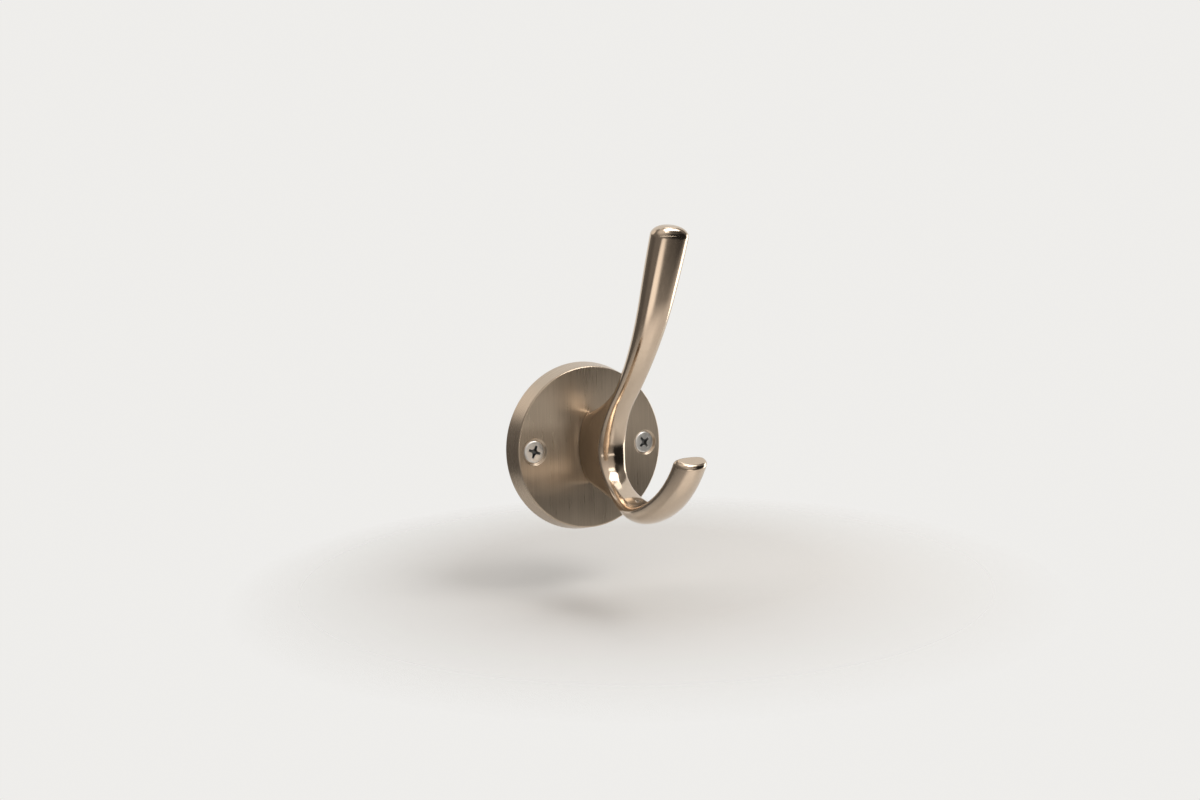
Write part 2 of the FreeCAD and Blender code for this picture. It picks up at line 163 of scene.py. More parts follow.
def on_arm(y, z):
    """Signed run (prong -, J +), distance in front of the centreline, and half width."""
    best = np.full_like(y, np.inf)
    run, ahead, half = np.zeros_like(y), np.zeros_like(y), np.zeros_like(y)
    for legs, marks, sign in ((UPPER, UPPER_MARKS, -1), (LOWER, LOWER_MARKS, 1)):
        for index, leg in enumerate(legs):
            along = leg.nearest(y, z, index == len(legs) - 1)
            cy, cz, way = leg.at(along)
            far = np.hypot(y - cy, z - cz)
            nearer = far < best
            best = np.where(nearer, far, best)
            here = leg.run + along
            run = np.where(nearer, sign * here, run)
            front = sign * ((y - cy) * np.sin(way) - (z - cz) * np.cos(way))
            ahead = np.where(nearer, front, ahead)
            half = np.where(nearer, half_width(here, marks), half)
    return run, ahead, half


def section_value(x, ahead, half, run):
    """How far out in the arm's section, with 1 on its outline, and its growth per millimetre."""
    front, back, crest, square = shape_at(run)
    u = np.abs(x) / half
    v = ahead / half
    peak = np.hypot(u, CREST_SOFTNESS)
    full = math.hypot(1, CREST_SOFTNESS) - CREST_SOFTNESS
    roof = (math.hypot(1, CREST_SOFTNESS) - peak) / full
    rise = front * (1 - crest)
    w = np.maximum(v - front * crest * roof, 0) / rise
    value = np.maximum((u ** square + w ** square) ** (1 / square), 1e-6)
    sloped = front * crest / full * u / peak / rise
    du = (u / value) ** (square - 1) + (w / value) ** (square - 1) * sloped
    dv = (w / value) ** (square - 1) / rise
    steep = np.hypot(du, dv)
    low_value = np.maximum(np.hypot(u, v / back), 1e-6)
    low_steep = np.hypot(u, v / back ** 2) / low_value
    ahead_of = v > 0
    grown = np.maximum(np.where(ahead_of, steep, low_steep), 0.5)
    return np.where(ahead_of, value, low_value), grown / half


def bar_distance(x, run, ahead, half):
    """About the distance outside the bar, with its ends rounded over to a smaller flat."""
    value, steep = section_value(x, ahead, half, run)
    out = (value - 1) / steep
    ends = ((-run - UPPER_LENGTH, PRONG_DOME, PRONG_END_FLAT),
            (run - LOWER_LENGTH, LIP_END_ROUNDING, LIP_END_FLAT))
    for past, height, flat in ends:
        side = np.maximum((value - flat) / (1 - flat), 0)
        over = np.maximum(past / height, 0)
        both = np.maximum(np.hypot(side, over), 1e-6)
        grown = np.hypot(side / both * steep / (1 - flat), over / both / height)
        out = np.where(past > 0, (both - 1) / np.maximum(grown, 0.1), out)
    return out


def rounded_meet(a, b, radius):
    """Where two solids cross, with the edge between them rounded."""
    a = a + radius
    b = b + radius
    return np.hypot(np.maximum(a, 0), np.maximum(b, 0)) + np.minimum(np.maximum(a, b), 0) - radius


def smooth_join(a, b, width):
    """Two solids as one, with the corner between them filled."""
    near = np.maximum(width - np.abs(a - b), 0) / width
    return np.minimum(a, b) - near ** 3 * width / 6


def flare_arc(legs, marks, run, corner, sign):
    """Centre, radius, end and end way of the arc from a corner of the foot on to the arm's back."""
    leg = [leg for leg in legs if leg.run <= run][-1]
    y, z, way = leg.at(run - leg.run)
    front = sign * np.array([math.sin(way), -math.cos(way)])
    half = float(half_width(np.array([run]), marks)[0])
    back = float(shape_at(np.array([sign * run]))[1][0])
    end = np.array([y, z]) - front * (back * half - FLARE_SINK)
    chord = end - corner
    up = math.copysign(1, chord[1])
    chord_way = math.atan2(abs(chord[1]), abs(chord[0]))
    end_way = math.atan2(abs(math.sin(way)), abs(math.cos(way)))
    length = float(np.hypot(*chord))
    sag = length / 2 * math.tan((end_way - chord_way) / 2)
    away = np.array([-math.sin(chord_way), -up * math.cos(chord_way)])
    radius = (length ** 2 / 4 + sag ** 2) / (2 * sag)
    middle = (corner + end) / 2
    return middle + away * (sag - radius), radius, end, (math.cos(way), math.sin(way))


UPPER_FLARE = flare_arc(UPPER, UPPER_MARKS, UPPER_MARKS[1][0] + UPPER_FLARE_RUN,
                        np.array([FOOT_Y, FOOT_TOP]), -1)
LOWER_FLARE = flare_arc(LOWER, LOWER_MARKS, LOWER_MARKS[1][0] + LOWER_FLARE_RUN,
                        np.array([FOOT_Y, FOOT_BOTTOM]), 1)


def flare_height(flare, y):
    """Height of a flare's arc at y, on its half next to the neck."""
    centre, radius = flare[0], flare[1]
    rise = np.sqrt(np.maximum(radius ** 2 - (y - centre[0]) ** 2, 0))
    return centre[1] - math.copysign(1, centre[1]) * rise


def neck_distance(x, y, z, ahead):
    """About the distance outside the neck: oval at the foot, flat-sided and flared at the arm."""
    sides = []
    for centre, radius, end, way in (UPPER_FLARE, LOWER_FLARE):
        over = radius - np.hypot(y - centre[0], z - centre[1])
        past = (y - end[0]) * way[0] + (z - end[1]) * way[1]
        sides.append(np.maximum(over, past))
    flare = np.maximum(sides[0], sides[1])
    out = np.clip((FOOT_Y - y) / NECK_TAPER, 0, 1)
    share = out * (2 - out)
    half = NECK_WIDTH / 2 + (FOOT_WIDTH - NECK_WIDTH) / 2 * (1 - out) ** 2
    web = rounded_meet(np.abs(x) - half, flare, NECK_ROUNDING)
    reach = np.clip(y, FOOT_Y - NECK_TAPER - 2, FOOT_Y)
    top, low = flare_height(UPPER_FLARE, reach), flare_height(LOWER_FLARE, reach)
    tall = (top - low) / 2
    u, v = x / half, (z - (top + low) / 2) / tall
    value = np.hypot(u, v)
    steep = np.hypot(u / half, v / tall) / np.maximum(value, 1e-6)
    oval = (value - 1) / np.maximum(steep, 0.5 / tall)
    body = (1 - share) * oval + share * web
    body = np.maximum(body, ahead + NECK_INSET)
    return np.maximum(body, y - FOOT_Y)


def arm_distance(points):
    """About the distance outside the arm in front of the rosette."""
    x, y, z = points[:, 0], points[:, 1], points[:, 2]
    run, ahead, half = on_arm(y, z)
    return smooth_join(bar_distance(x, run, ahead, half), neck_distance(x, y, z, ahead), BLEND)


def whole_arm(points):
    """The arm with its tapped hole, and with the pip that sits in a socket of the rosette."""
    x, y, z = points[:, 0], points[:, 1], points[:, 2]
    tap = np.maximum(np.hypot(x, z) - TAP_RADIUS, TAP_END - y)
    pip_end = np.maximum(y - PIP_BACK, PIP_ROOT - y)
    pip = np.maximum(np.hypot(x, z - PIP_Z) - PIP_RADIUS, pip_end)
    return np.minimum(np.maximum(arm_distance(points), -tap), pip)


def slope_of(field, points):
    """Slope of a field along each axis, from points a small step away."""
    out = np.zeros_like(points)
    for axis in range(3):
        shift = np.zeros(3)
        shift[axis] = SLOPE_STEP
        out[:, axis] = (field(points + shift) - field(points - shift)) / (2 * SLOPE_STEP)
    return out


def net_surface(field, low, high, cell):
    """Quads over the zero level of a field: one vertex in each cell that it crosses."""
    counts = [int(math.ceil((end - start) / cell)) + 1 for start, end in zip(low, high)]
    axes = [start + cell * np.arange(count) for start, count in zip(low, counts)]
    grid = np.stack(np.meshgrid(*axes, indexing="ij"), -1)
    value = field(grid.reshape(-1, 3)).reshape(counts)
    inside = value < 0
    cells = [n - 1 for n in counts]
    total = np.zeros(cells + [3])
    number = np.zeros(cells)
    crossings = []
    for axis in range(3):
        a, b = [slice(None)] * 3, [slice(None)] * 3
        a[axis], b[axis] = slice(0, -1), slice(1, None)
        a, b = tuple(a), tuple(b)
        change = inside[a] != inside[b]
        with np.errstate(divide="ignore", invalid="ignore"):
            share = np.where(change, value[a] / (value[a] - value[b]), 0.0)
        where = grid[a].copy()
        where[..., axis] += share * cell
        where *= change[..., None]
        others = [n for n in range(3) if n != axis]
        for first in (0, 1):
            for second in (0, 1):
                take = [slice(None)] * 3
                take[others[0]] = slice(first, change.shape[others[0]] - 1 + first)
                take[others[1]] = slice(second, change.shape[others[1]] - 1 + second)
                total += where[tuple(take)]
                number += change[tuple(take)]
        crossings.append((axis, change, inside[a]))
    used = number > 0
    index = -np.ones(cells, int)
    index[used] = np.arange(used.sum())
    points = total[used] / number[used][:, None]
    quads = []
    for axis, change, starts_inside in crossings:
        others = [n for n in range(3) if n != axis]
        spots = np.argwhere(change)
        keep = (spots[:, others[0]] > 0) & (spots[:, others[1]] > 0)
        keep &= (spots[:, others[0]] < cells[others[0]]) & (spots[:, others[1]] < cells[others[1]])
        spots = spots[keep]
        ring = []
        for first, second in ((1, 1), (0, 1), (0, 0), (1, 0)):
            at = spots.copy()
            at[:, others[0]] -= first
            at[:, others[1]] -= second
            ring.append(index[at[:, 0], at[:, 1], at[:, 2]])
        quad = np.stack(ring, 1)
        flip = starts_inside[spots[:, 0], spots[:, 1], spots[:, 2]]
        if axis == 1:
            flip = ~flip
        quad[~flip] = quad[~flip][:, ::-1]
        quads.append(quad)
    return points, np.concatenate(quads)


def settle(field, points, quads):
    """Evens the vertices out along the surface, puts them exactly on it and finds its normals."""
    pairs = np.concatenate([quads[:, [k, (k + 1) % 4]] for k in range(4)])
    count = np.zeros(len(points))
    np.add.at(count, pairs[:, 0], 1)
    np.add.at(count, pairs[:, 1], 1)
    for turn in range(SETTLE_ROUNDS + 2):
        if turn < SETTLE_ROUNDS:
            total = np.zeros_like(points)
            np.add.at(total, pairs[:, 0], points[pairs[:, 1]])
            np.add.at(total, pairs[:, 1], points[pairs[:, 0]])
            points = points + 0.5 * (total / count[:, None] - points)
        for _ in range(2):
            slope = slope_of(field, points)
            square = np.maximum((slope ** 2).sum(1), 0.05)
            move = np.clip(field(points) / square, -LONGEST_MOVE, LONGEST_MOVE)
            points = points - slope * move[:, None]
    slope = slope_of(field, points)
    return points, slope / np.linalg.norm(slope, axis=1)[:, None]


def add_object(name, mesh):
    made = bpy.data.objects.new(name, mesh)
    bpy.context.scene.collection.objects.link(made)
    return made


def shade_smooth(mesh):
    mesh.polygons.foreach_set("use_smooth", [True] * len(mesh.polygons))


def make_arm():
    points, quads = net_surface(whole_arm, ARM_LOW, ARM_HIGH, CELL)
    points, normals = settle(whole_arm, points, quads)
    mesh = bpy.data.meshes.new("hook_arm_skin")
    mesh.from_pydata((points * MM).tolist(), [], quads.tolist())
    shade_smooth(mesh)
    mesh.validate()
    mesh.normals_split_custom_set_from_vertices(normals.tolist())
    return add_object("hook_arm_skin", mesh)


# The rosette in millimetres, turned about the y axis: its face, flared side, rim and hollow back,
# then the central boss with the counterbore of the fixing screw, and the two screw holes.
PLATE_RADIUS = 25.0
PLATE_EDGE_INSET = 0.06
PLATE_FLARE = 1.3
RIM_WIDTH = 3.0
FACE_BACK = -3.55
BOSS_RADIUS, BOSS_BACK = 6.5, -0.8
FIXING_BORE, FIXING_HEAD, FIXING_LAND = 2.25, 3.75, 0.3
SCREW_X = 19.4
SCREW_BOSS_RADIUS, SCREW_BOSS_BACK, SCREW_BOSS_SINK = 4.8, -0.02, 0.6
HOLE_MOUTH, HOLE_BORE, HOLE_ROUNDING = 4.0, 2.1, 0.3
PIP_PLAY = 0.05
CUT_FROM, CUT_TO = -9.0, 1.0
SEGMENTS, BOSS_SEGMENTS, HOLE_SEGMENTS, SOCKET_SEGMENTS = 240, 72, 120, 32
FILLET_STEPS = 6
WELD = 0.0005
FLAT_FACE = 0.99995


def ring_points(radius, y, turns, axis_x=0.0):
    return [(axis_x + radius * math.cos(t), y, radius * math.sin(t)) for t in turns]


def lathe(profile, segments, axis_x=0.0):
    """Closed skin turned about the y axis from (radius, y) pairs; a radius of 0 is one point."""
    turns = [2 * math.pi * k / segments for k in range(segments)]
    points, rings, faces = [], [], []
    for radius, y in profile:
        if radius == 0:
            rings.append([len(points)] * segments)
            points.append((axis_x, y, 0.0))
        else:
            rings.append(list(range(len(points), len(points) + segments)))
            points += ring_points(radius, y, turns, axis_x)
    closed = profile[0][0] > 0
    count = len(rings)
    for index in range(count if closed else count - 1):
        a, b = rings[index], rings[(index + 1) % count]
        for k in range(segments):
            n = (k + 1) % segments
            corner = [a[k], a[n], b[n], b[k]]
            faces.append(list(dict.fromkeys(corner)))
    return points, faces


def fillet(before, corner, after, radius, steps):
    """Points of an arc of a radius that rounds the corner of a profile."""
    corner = np.array(corner, float)
    a = np.array(before, float) - corner
    b = np.array(after, float) - corner
    a, b = a / np.linalg.norm(a), b / np.linalg.norm(b)
    half = math.acos(float(np.clip(a @ b, -1, 1))) / 2
    centre = corner + (a + b) / np.linalg.norm(a + b) * radius / math.sin(half)
    start = corner + a * radius / math.tan(half) - centre
    end = corner + b * radius / math.tan(half) - centre
    sweep = math.acos(float(np.clip(start @ end / radius ** 2, -1, 1)))
    out = []
    for step in range(steps + 1):
        s = step / steps
        way = (math.sin((1 - s) * sweep) * start + math.sin(s * sweep) * end) / math.sin(sweep)
        out.append(tuple(centre + way))
    return out


def rounded_profile(corners):
    """A (radius, y) profile with some of its corners rounded; a corner is (radius, y, rounding)."""
    out = []
    count = len(corners)
    for index, (radius, y, rounding) in enumerate(corners):
        if rounding == 0:
            out.append((radius, y))
            continue
        before, after = corners[index - 1], corners[(index + 1) % count]
        out += fillet(before[:2], (radius, y), after[:2], rounding, FILLET_STEPS)
    return out


def solid_from(name, points, faces):
    """Closed solid in millimetres, with its faces turned outwards."""
    mesh = bpy.data.meshes.new(name)
    mesh.from_pydata(np.array(points).tolist(), [], faces)
    piece = add_object(name, mesh)
    work = bmesh.new()
    work.from_mesh(mesh)
    bmesh.ops.recalc_face_normals(work, faces=work.faces)
    work.to_mesh(mesh)
    work.free()
    return piece


def combine(piece, other, operation):
    """Cuts or joins another solid, which is then dropped, and welds the seam."""
    change = piece.modifiers.new("combine", "BOOLEAN")
    change.operation = operation
    change.solver = "EXACT"
    change.object = other
    bpy.context.view_layer.update()
    graph = bpy.context.evaluated_depsgraph_get()
    made = bpy.data.meshes.new_from_object(piece.evaluated_get(graph))
    piece.modifiers.clear()
    old = piece.data
    piece.data = made
    made.name = old.name
    bpy.data.meshes.remove(old)
    gone = other.data
    bpy.data.objects.remove(other)
    bpy.data.meshes.remove(gone)
    work = bmesh.new()
    work.from_mesh(made)
    bmesh.ops.remove_doubles(work, verts=work.verts, dist=WELD)
    work.to_mesh(made)
    work.free()


def turned_normals(mesh, axes):
    """Normals of turned surfaces, exact round their axes, with flat faces left flat."""
    places = np.empty(len(mesh.vertices) * 3)
    mesh.vertices.foreach_get("co", places)
    places = places.reshape(-1, 3)
    out = []
    for face in mesh.polygons:
        normal = np.array(face.normal)
        flat = abs(normal[1]) > FLAT_FACE
        centre = np.array(face.center)
        near = [x for x, reach in axes if math.hypot(centre[0] - x, centre[2]) < reach]
        axis = near[0] if near else 0.0
        radial = np.array([centre[0] - axis, 0, centre[2]])
        radial /= max(np.linalg.norm(radial), 1e-9)
        outward = float(normal @ radial)
        for index in face.vertices:
            if flat:
                out.append(normal)
                continue
            here = places[index] - np.array([axis, 0, 0])
            here[1] = 0
            here /= max(np.linalg.norm(here), 1e-9)
            turned = here * outward + np.array([0, normal[1], 0])
            out.append(turned / max(np.linalg.norm(turned), 1e-9))
    return [tuple(normal) for normal in out]


def make_rosette():
    back = PLATE_RADIUS + PLATE_FLARE
    outline = rounded_profile([
        (FIXING_BORE, FOOT_Y, 0),
        (PLATE_RADIUS - PLATE_EDGE_INSET, FOOT_Y, 0.5),
        (back, 0.0, 0.12),
        (back - RIM_WIDTH, 0.0, 0.1),
        (back - RIM_WIDTH - PLATE_FLARE, FACE_BACK, 0.5),
        (BOSS_RADIUS, FACE_BACK, 0.6),
        (BOSS_RADIUS, BOSS_BACK, 0.2),
        (FIXING_HEAD, BOSS_BACK, 0.08),
        (FIXING_HEAD, BOSS_BACK - FIXING_LAND, 0),
        (FIXING_BORE, BOSS_BACK - FIXING_LAND - (FIXING_HEAD - FIXING_BORE), 0),
    ])
    piece = solid_from("rosette", *lathe(outline, SEGMENTS))
    for x in (-SCREW_X, SCREW_X):
        front = FACE_BACK - SCREW_BOSS_SINK
        boss = [(0, front), (SCREW_BOSS_RADIUS, front),
                (SCREW_BOSS_RADIUS, SCREW_BOSS_BACK), (0, SCREW_BOSS_BACK)]
        combine(piece, solid_from("boss", *lathe(boss, BOSS_SEGMENTS, x)), "UNION")
    cone_end = (HOLE_BORE, FOOT_Y + HOLE_MOUTH - HOLE_BORE)
    for x in (-SCREW_X, SCREW_X):
        edge = fillet((9, FOOT_Y), (HOLE_MOUTH, FOOT_Y), cone_end, HOLE_ROUNDING, 5)
        hole = [(0, FOOT_Y - 1), (HOLE_MOUTH + 1, FOOT_Y - 1), (edge[0][0] + 0.02, FOOT_Y - 0.004)]
        hole += edge[1:] + [cone_end, (HOLE_BORE, CUT_TO), (0, CUT_TO)]
        combine(piece, solid_from("hole", *lathe(hole, HOLE_SEGMENTS, x)), "DIFFERENCE")
    reach = PIP_RADIUS + PIP_PLAY
    cutter = [(0, CUT_FROM), (reach, CUT_FROM), (reach, CUT_TO), (0, CUT_TO)]
    socket = solid_from("socket", *lathe(cutter, SOCKET_SEGMENTS))
    socket.location = (0, 0, PIP_Z)
    combine(piece, socket, "DIFFERENCE")
    near_screw = SCREW_BOSS_RADIUS + 0.1
    normals = turned_normals(piece.data, [(-SCREW_X, near_screw), (SCREW_X, near_screw)])
    piece.data.transform(Matrix.Scale(MM, 4))
    shade_smooth(piece.data)
    piece.data.normals_split_custom_set(normals)
    return piece


# Countersunk wood screw: head face at y = 0 before it is put in place, point towards +Y.
SCREW_LENGTH = 20.0
SCREW_POINT = 4.0
HEAD_Y = FOOT_Y + 0.35
SCREW_SEGMENTS = 72
HEAD_RADIUS = 3.45
HEAD_FLAT = 0.62
HEAD_CURVE = [(0.45, 0.03), (0.25, 0.11), (0.1, 0.23), (0.02, 0.36), (0.03, 0.44), (0.12, 0.54)]
CONE_START = 0.42
THREAD_START = 5.6
THREAD_RUN_IN = 0.9
THREAD_PITCH = 1.7
THREAD_STEP = 0.12
THREAD_FOOT = 0.2
THREAD_SHARPNESS = 0.8
NECK_RADIUS = 1.3
CORE_RADIUS = 1.12
THREAD_RADIUS = 1.75
RECESS_DEPTH = 1.5
# Rings of the cross recess: depth, scale of the middle, and reach of the arms.
RECESS_RINGS = [(0.0, 1.0, 1.95), (0.09, 0.94, 1.87), (RECESS_DEPTH * 0.86, 0.72, 0.98)]
SHARP_ANGLE = math.radians(28)


def recess_outline(scale, arm):
    """Corners of a cross with a small point between its arms, as on a driver's cross recess."""
    half = 0.46 * scale
    quarter = [(arm, -half * 0.82), (arm + 0.07, -half * 0.4), (arm + 0.07, half * 0.4),
               (arm, half * 0.82), (0.95 * scale, half), (0.68 * scale, 0.52 * scale),
               (0.80 * scale, 0.80 * scale), (0.52 * scale, 0.68 * scale), (half, 0.95 * scale)]
    out = []
    for turn in range(4):
        c, s = (1, 0, -1, 0)[turn], (0, 1, 0, -1)[turn]
        out += [(x * c - z * s, x * s + z * c) for x, z in quarter]
    return out


def fill_flat(outer, inners, points, faces, towards):
    """Flat face between a ring of vertices and the rings of its holes, all given by index."""
    loops = [outer] + inners
    order = [index for loop in loops for index in loop]
    flat = [Vector((points[index][0], points[index][2])) for index in order]
    edges, base = [], 0
    for loop in loops:
        size = len(loop)
        edges += [(base + k, base + (k + 1) % size) for k in range(size)]
        base += size
    _, _, made, _, _, _ = delaunay_2d_cdt(flat, edges, [], 0, 1e-7)
    for face in made:
        corner = [order[index] for index in face]
        total = (sum(points[i][0] for i in corner), sum(points[i][2] for i in corner))
        middle = Vector(total) / len(corner)
        in_hole = any(inside_loop(middle, hole, points) for hole in inners)
        if inside_loop(middle, outer, points) and not in_hole:
            a, b, c = [Vector(points[i]) for i in corner[:3]]
            if (b - a).cross(c - a).y * towards < 0:
                corner = corner[::-1]
            faces.append(corner)


def inside_loop(middle, loop, points):
    """Whether a point of the x-z plane lies inside a ring of vertices given by index."""
    inside = False
    x, z = middle
    for a, b in zip(loop, loop[1:] + loop[:1]):
        ax, az, bx, bz = points[a][0], points[a][2], points[b][0], points[b][2]
        if (az > z) != (bz > z) and x < (bx - ax) * (z - az) / (bz - az) + ax:
            inside = not inside
    return inside


def thread_ring(y, turns):
    """Ring of the shank at y, with the screw thread as a ridge that winds round it."""
    on = min(1.0, max(0.0, (y - THREAD_START) / THREAD_RUN_IN))
    taper = min(1.0, (SCREW_LENGTH - y) / SCREW_POINT)
    core = (NECK_RADIUS + (CORE_RADIUS - NECK_RADIUS) * on) * taper
    places = []
    for t in turns:
        phase = (y / THREAD_PITCH - t / (2 * math.pi)) % 1.0
        ridge = max(0.0, 1 - abs(phase - 0.5) / THREAD_FOOT) ** THREAD_SHARPNESS
        radius = core + (THREAD_RADIUS - CORE_RADIUS) * ridge * on * min(1.0, taper * 1.25)
        places.append((radius * math.cos(t), y, radius * math.sin(t)))
    return places


def make_wood_screw(name, x, angle):
    turns = [2 * math.pi * k / SCREW_SEGMENTS for k in range(SCREW_SEGMENTS)]
    points, faces = [], []

    def add_ring(places):
        start = len(points)
        points.extend(places)
        return list(range(start, start + len(places)))

    def bridge(a, b):
        count = len(a)
        for k in range(count):
            n = (k + 1) % count
            faces.append([a[k], b[k], b[n], a[n]])

    mouth, lip, floor = [add_ring([(px, depth, pz) for px, pz in recess_outline(scale, arm)])
                         for depth, scale, arm in RECESS_RINGS]
    bottom = add_ring([(0.0, RECESS_DEPTH, 0.0)])
    rings = [add_ring(ring_points(HEAD_RADIUS - HEAD_FLAT, 0.0, turns))]
    fill_flat(rings[0], [mouth], points, faces, -1)
    bridge(mouth[::-1], lip[::-1])
    bridge(lip[::-1], floor[::-1])
    for k in range(len(floor)):
        faces.append([floor[k], floor[(k + 1) % len(floor)], bottom[0]])
    head = [(HEAD_RADIUS - inset, y) for inset, y in HEAD_CURVE]
    cone = HEAD_RADIUS - NECK_RADIUS
    cone_end = CONE_START + cone
    head += [(HEAD_RADIUS - share * cone, CONE_START + share * cone) for share in (0.3, 0.6, 0.9)]
    head += [(NECK_RADIUS + 0.05, cone_end + 0.08), (NECK_RADIUS, cone_end + 0.3)]
    for radius, y in head:
        rings.append(add_ring(ring_points(radius, y, turns)))
    y = cone_end + 0.5
    while y < SCREW_LENGTH - 0.1:
        rings.append(add_ring(thread_ring(y, turns)))
        y += THREAD_STEP
    for a, b in zip(rings[:-1], rings[1:]):
        bridge(a, b)
    tip = add_ring([(0.0, SCREW_LENGTH, 0.0)])
    for k in range(SCREW_SEGMENTS):
        faces.append([rings[-1][k], tip[0], rings[-1][(k + 1) % SCREW_SEGMENTS]])
    turn = math.radians(angle)
    c, s = math.cos(turn), math.sin(turn)
    placed = [(x + px * c + pz * s, py + HEAD_Y, -px * s + pz * c) for px, py, pz in points]
    piece = solid_from(name, placed, faces)
    piece.data.transform(Matrix.Scale(MM, 4))
    shade_smooth(piece.data)
    piece.data.set_sharp_from_angle(angle=SHARP_ANGLE)
    return piece


arm = make_arm()
rosette = make_rosette()
screws = [make_wood_screw("left_wood_screw", -SCREW_X, 20.0),
          make_wood_screw("right_wood_screw", SCREW_X, 52.0)]


# Materials: brushed and polished nickel plating on zinc castings, and zinc-plated steel, with
# painted shade in the screws' cross recesses.
class Paint:
    """A material whose colour, roughness and bump come from nodes."""

    def __init__(self, name):
        self.material = bpy.data.materials.new(name)
        self.material.use_nodes = True
        self.tree = self.material.node_tree
        self.shader = self.tree.nodes["Principled BSDF"]
        self.place = self.tree.nodes.new("ShaderNodeTexCoord").outputs["Object"]

    def node(self, kind, **values):
        made = self.tree.nodes.new(kind)
        for name, value in values.items():
            if name in made.inputs:
                made.inputs[name].default_value = value
            else:
                setattr(made, name, value)
        return made

    def link(self, a, b):
        self.tree.links.new(a, b)

    def noise(self, scale, detail=3.0, roughness=0.55):
        """Noise in object space, with its own scale along each axis, in features per metre."""
        mapping = self.node("ShaderNodeMapping")
        mapping.inputs["Scale"].default_value = scale
        self.link(self.place, mapping.inputs["Vector"])
        grain = self.node("ShaderNodeTexNoise", Scale=1.0, Detail=detail, Roughness=roughness)
        self.link(mapping.outputs["Vector"], grain.inputs["Vector"])
        return grain.outputs["Fac"]

    def spread(self, value, low, high, start=0.3, end=0.7):
        """The value's range from start to end stretched to run from low to high."""
        change = self.node("ShaderNodeMapRange")
        change.inputs["From Min"].default_value = start
        change.inputs["From Max"].default_value = end
        change.inputs["To Min"].default_value = low
        change.inputs["To Max"].default_value = high
        self.link(value, change.inputs["Value"])
        return change.outputs["Result"]

    def colours(self, value, low, high):
        """Colour between low and high by the value."""
        blend = self.node("ShaderNodeMix", data_type="RGBA")
        blend.inputs[6].default_value = (*low, 1)
        blend.inputs[7].default_value = (*high, 1)
        self.link(value, blend.inputs["Factor"])
        return blend.outputs[2]

    def bumps(self, layers):
        """Bump from (value, strength, distance) layers, one on top of the other."""
        last = None
        for value, strength, distance in layers:
            bump = self.node("ShaderNodeBump", Strength=strength, Distance=distance)
            self.link(value, bump.inputs["Height"])
            if last:
                self.link(last, bump.inputs["Normal"])
            last = bump.outputs["Normal"]
        self.link(last, self.shader.inputs["Normal"])


def metal(name, low, high, rough, grain, layers, anisotropic=0.0, tangent=None, cloud=(55, 55, 55)):
    """Metal whose colour and roughness follow its grain; bump layers are scale, strength, depth."""
    paint = Paint(name)
    paint.shader.inputs["Metallic"].default_value = 1.0
    drift = paint.noise(cloud, 2.0)
    fine = paint.noise(grain)
    both = paint.node("ShaderNodeMath", operation="MULTIPLY_ADD")
    paint.link(fine, both.inputs[0])
    both.inputs[1].default_value = 0.6
    share = paint.node("ShaderNodeMath", operation="MULTIPLY")
    paint.link(drift, share.inputs[0])
    share.inputs[1].default_value = 0.4
    paint.link(share.outputs[0], both.inputs[2])
    mixed = both.outputs[0]
    colour = paint.colours(paint.spread(mixed, 0.0, 1.0), low, high)
    paint.link(colour, paint.shader.inputs["Base Color"])
    paint.link(paint.spread(mixed, *rough), paint.shader.inputs["Roughness"])
    paint.bumps([(paint.noise(scale), strength, depth) for scale, strength, depth in layers])
    if anisotropic:
        paint.shader.inputs["Anisotropic"].default_value = anisotropic
        way = paint.node("ShaderNodeCombineXYZ")
        for socket, value in zip(way.inputs, tangent):
            socket.default_value = value
        paint.link(way.outputs[0], paint.shader.inputs["Tangent"])
    return paint.material


polished = metal(
    "polished_nickel", low=(0.60, 0.49, 0.385), high=(0.66, 0.545, 0.43), rough=(0.10, 0.17),
    grain=(900, 900, 260),
    layers=[((70, 70, 70), 0.35, 0.00004), ((2600, 2600, 900), 0.12, 0.000006)])
brushed = metal(
    "brushed_nickel", low=(0.41, 0.34, 0.265), high=(0.55, 0.465, 0.37), rough=(0.26, 0.35),
    grain=(4200, 4200, 70),
    layers=[((4600, 4600, 60), 0.35, 0.00001), ((1300, 1300, 30), 0.25, 0.00001)],
    anisotropic=0.9, tangent=(1, 0, 0), cloud=(60, 60, 60))
turned = metal(
    "turned_nickel", low=(0.54, 0.445, 0.35), high=(0.63, 0.525, 0.415), rough=(0.24, 0.33),
    grain=(60, 4200, 60), layers=[((50, 4600, 50), 0.3, 0.000008)],
    anisotropic=0.5, tangent=(0, 1, 0))
cast = metal(
    "cast_back", low=(0.33, 0.29, 0.25), high=(0.44, 0.39, 0.33), rough=(0.42, 0.6),
    grain=(700, 700, 700),
    layers=[((900, 900, 900), 0.5, 0.00005), ((220, 220, 220), 0.4, 0.0001)])
zinc = metal(
    "zinc_plate", low=(0.84, 0.83, 0.80), high=(0.94, 0.93, 0.91), rough=(0.26, 0.42),
    grain=(1500, 1500, 1500),
    layers=[((2200, 2200, 2200), 0.3, 0.00001), ((400, 400, 400), 0.3, 0.00003)])
# Dark zinc for the faces deep in the screws' cross recesses: painted shade, far darker than the
# plating itself.
recess_painted_shade = metal(
    "zinc_recess_painted_shade", low=(0.16, 0.17, 0.17), high=(0.26, 0.27, 0.27), rough=(0.4, 0.55),
    grain=(1500, 1500, 1500), layers=[((2200, 2200, 2200), 0.3, 0.00002)])

